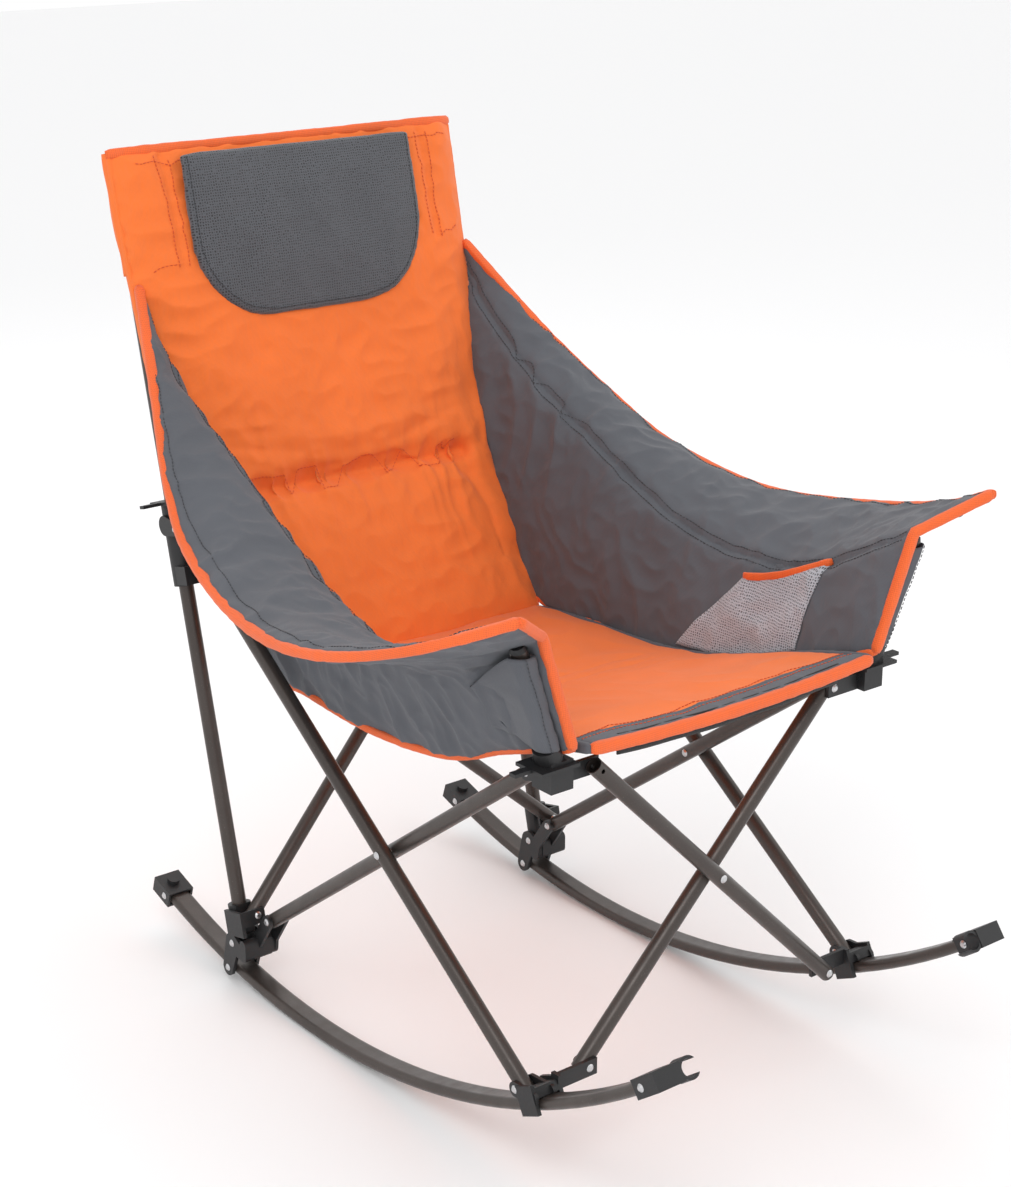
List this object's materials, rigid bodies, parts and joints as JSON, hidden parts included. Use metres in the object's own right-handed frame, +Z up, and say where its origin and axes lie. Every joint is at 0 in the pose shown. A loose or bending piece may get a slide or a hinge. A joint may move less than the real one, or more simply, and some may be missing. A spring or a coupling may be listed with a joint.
{
  "type": "folding rocking chair",
  "caption": "Folding camp rocking chair: crossed tube legs on two curved rockers, padded bucket seat, high back with head pad.",
  "frame": {"origin": "centre of the bounding box's footprint, on the floor", "axes": "+Z up, -Y the way the sitter faces, +X the sitter's left"},
  "size_m": [0.848, 1.0584, 1.0535],
  "materials": {
    "frame_paint": "satin dark bronze powder coat",
    "black_plastic": "moulded matte",
    "rivet_steel": "plated",
    "orange_fabric": "plain woven polyester",
    "grey_fabric": "woven polyester over foam",
    "dark_mesh": "padded spacer mesh",
    "pale_mesh": "open mesh"
  },
  "bodies": {
    "right_rear": {"right_rear_post": "frame_paint", "right_post_socket": "black_plastic", "right_rear_bracket": "black_plastic", "right_rear_rivets": "rivet_steel", "back_panel": "orange_fabric", "head_pad": "dark_mesh"},
    "left_rear": {"left_rear_post": "frame_paint", "left_post_socket": "black_plastic", "left_rear_bracket": "black_plastic", "left_rear_rivets": "rivet_steel"},
    "right_inner_leg": {"right_inner_leg": "frame_paint", "right_side_rivet": "rivet_steel"},
    "left_inner_leg": {"left_inner_leg": "frame_paint", "left_side_rivet": "rivet_steel"},
    "right_outer_leg": {"right_outer_leg": "frame_paint"},
    "left_outer_leg": {"left_outer_leg": "frame_paint"},
    "right_front_foot": {"right_front_foot": "black_plastic", "right_foot_rivets": "rivet_steel"},
    "left_front_foot": {"left_front_foot": "black_plastic", "left_foot_rivets": "rivet_steel"},
    "right_front_hub": {"right_front_hub": "black_plastic", "right_hub_rivets": "rivet_steel", "right_arm_post": "frame_paint", "right_arm_cap": "black_plastic", "right_arm_sleeve": "grey_fabric", "front_strap": "black_plastic"},
    "left_front_hub": {"left_front_hub": "black_plastic", "left_hub_rivets": "rivet_steel", "left_arm_post": "frame_paint", "left_arm_cap": "black_plastic", "left_arm_sleeve": "grey_fabric"},
    "right_slider": {"right_slider_hub": "black_plastic", "right_slider_rivets": "rivet_steel", "right_side_panel": "grey_fabric", "right_arm_flap": "grey_fabric"},
    "left_slider": {"left_slider_hub": "black_plastic", "left_slider_rivets": "rivet_steel", "left_side_panel": "grey_fabric", "left_arm_flap": "grey_fabric", "mesh_pocket": "pale_mesh"},
    "right_back_leg": {"right_back_leg": "frame_paint"},
    "left_back_leg": {"left_back_leg": "frame_paint", "back_cross_rivet": "rivet_steel"},
    "right_front_leg": {"right_front_leg": "frame_paint"},
    "left_front_leg": {"left_front_leg": "frame_paint", "front_cross_rivet": "rivet_steel"},
    "right_rocker": {"right_rocker": "frame_paint", "right_front_cap": "black_plastic", "right_rear_cap": "black_plastic", "right_cap_rivets": "rivet_steel"},
    "left_rocker": {"left_rocker": "frame_paint", "left_front_cap": "black_plastic", "left_rear_cap": "black_plastic", "left_cap_rivets": "rivet_steel"},
    "seat": {"seat_panel": "orange_fabric"}
  },
  "joints": [
    {"name": "fold", "type": "hinge", "parent": "right_rear", "child": "right_inner_leg", "pos_m": [-0.232, 0.23347, 0.104], "axis": [-1, 0, 0], "range_deg": [0, 26.65], "deforming": ["back_panel", "head_pad", "seat_panel", "front_strap", "right_side_panel", "left_side_panel", "right_arm_flap", "left_arm_flap", "mesh_pocket"]},
    {"name": "right_side_cross", "type": "hinge", "parent": "right_inner_leg", "child": "right_outer_leg", "pos_m": [-0.252, -0.03609, 0.30385], "axis": [1, 0, 0], "range_deg": [0, 39.45]},
    {"name": "right_front_foot_pivot", "type": "hinge", "parent": "right_outer_leg", "child": "right_front_foot", "pos_m": [-0.252, -0.29653, 0.121], "axis": [-1, 0, 0], "range_deg": [0, 19.86]},
    {"name": "right_front_hub_pivot", "type": "hinge", "parent": "right_inner_leg", "child": "right_front_hub", "pos_m": [-0.232, -0.28853, 0.491], "axis": [1, 0, 0], "range_deg": [0, 19.64]},
    {"name": "right_post_slide", "type": "slide", "parent": "right_rear", "child": "right_slider", "axis": [0, 0.2284, 0.9736], "range_m": [0, 0.1907]},
    {"name": "right_rocker_swing", "type": "hinge", "parent": "right_rear", "child": "right_rocker", "pos_m": [-0.247, 0.29772, 0.01993], "axis": [1, 0, 0], "range_deg": [0, 55]},
    {"name": "left_inner_leg_pivot", "type": "hinge", "parent": "left_rear", "child": "left_inner_leg", "pos_m": [0.232, 0.23347, 0.104], "axis": [-1, 0, 0], "range_deg": [0, 26.7]},
    {"name": "left_side_cross", "type": "hinge", "parent": "left_inner_leg", "child": "left_outer_leg", "pos_m": [0.252, -0.03609, 0.30385], "axis": [1, 0, 0], "range_deg": [0, 39.45]},
    {"name": "left_front_foot_pivot", "type": "hinge", "parent": "left_outer_leg", "child": "left_front_foot", "pos_m": [0.252, -0.29653, 0.121], "axis": [-1, 0, 0], "range_deg": [0, 19.86]},
    {"name": "left_front_hub_pivot", "type": "hinge", "parent": "left_inner_leg", "child": "left_front_hub", "pos_m": [0.232, -0.28853, 0.491], "axis": [1, 0, 0], "range_deg": [0, 19.64]},
    {"name": "left_post_slide", "type": "slide", "parent": "left_rear", "child": "left_slider", "axis": [0, 0.2284, 0.9736], "range_m": [0, 0.1907]},
    {"name": "left_rocker_swing", "type": "hinge", "parent": "left_rear", "child": "left_rocker", "pos_m": [0.247, 0.29772, 0.01993], "axis": [1, 0, 0], "range_deg": [0, 55]},
    {"name": "right_front_leg_pivot", "type": "hinge", "parent": "right_front_foot", "child": "right_front_leg", "pos_m": [-0.182, -0.31153, 0.13], "axis": [0, -1, 0], "range_deg": [0, 40.86]},
    {"name": "left_front_leg_pivot", "type": "hinge", "parent": "left_front_foot", "child": "left_front_leg", "pos_m": [0.182, -0.33093, 0.13], "axis": [0, 1, 0], "range_deg": [0, 40.86]},
    {"name": "right_back_leg_pivot", "type": "hinge", "parent": "right_rear", "child": "right_back_leg", "pos_m": [-0.241, 0.27457, 0.0985], "axis": [0, -0.9736, 0.2284], "range_deg": [0, 33.28]},
    {"name": "back_cross", "type": "hinge", "parent": "right_back_leg", "child": "left_back_leg", "pos_m": [0, 0.30695, 0.3215], "axis": [0, 0.9736, -0.2284], "range_deg": [0, 66.51]},
    {"name": "left_back_leg_pivot", "type": "hinge", "parent": "left_back_leg", "child": "left_rear", "pos_m": [0.241, 0.25568, 0.10293], "axis": [0, -0.9736, 0.2284], "range_deg": [0, 33.28]},
    {"name": "seat_lift", "type": "hinge", "parent": "right_rear", "child": "seat", "pos_m": [0, 0.24047, 0.421], "axis": [-1, 0, 0], "range_deg": [0, 34.1]}
  ],
  "couplings": [
    {"joint": "right_side_cross", "follows": "fold", "ratio": 1.4785},
    {"joint": "right_front_foot_pivot", "follows": "fold", "ratio": 0.74325},
    {"joint": "right_front_hub_pivot", "follows": "fold", "ratio": 0.73522},
    {"joint": "right_post_slide", "follows": "fold", "m_per_rad": 0.40882},
    {"joint": "left_inner_leg_pivot", "follows": "fold", "ratio": 1},
    {"joint": "left_side_cross", "follows": "fold", "ratio": 1.4785},
    {"joint": "left_front_foot_pivot", "follows": "fold", "ratio": 0.74325},
    {"joint": "left_front_hub_pivot", "follows": "fold", "ratio": 0.73522},
    {"joint": "left_post_slide", "follows": "fold", "m_per_rad": 0.40882},
    {"joint": "right_front_leg_pivot", "follows": "fold", "ratio": 1.5311},
    {"joint": "left_front_leg_pivot", "follows": "fold", "ratio": 1.5311},
    {"joint": "right_back_leg_pivot", "follows": "fold", "ratio": 1.2468},
    {"joint": "back_cross", "follows": "fold", "ratio": 2.4936},
    {"joint": "left_back_leg_pivot", "follows": "fold", "ratio": 1.2468},
    {"joint": "seat_lift", "follows": "fold", "ratio": 1.2757}
  ]
}
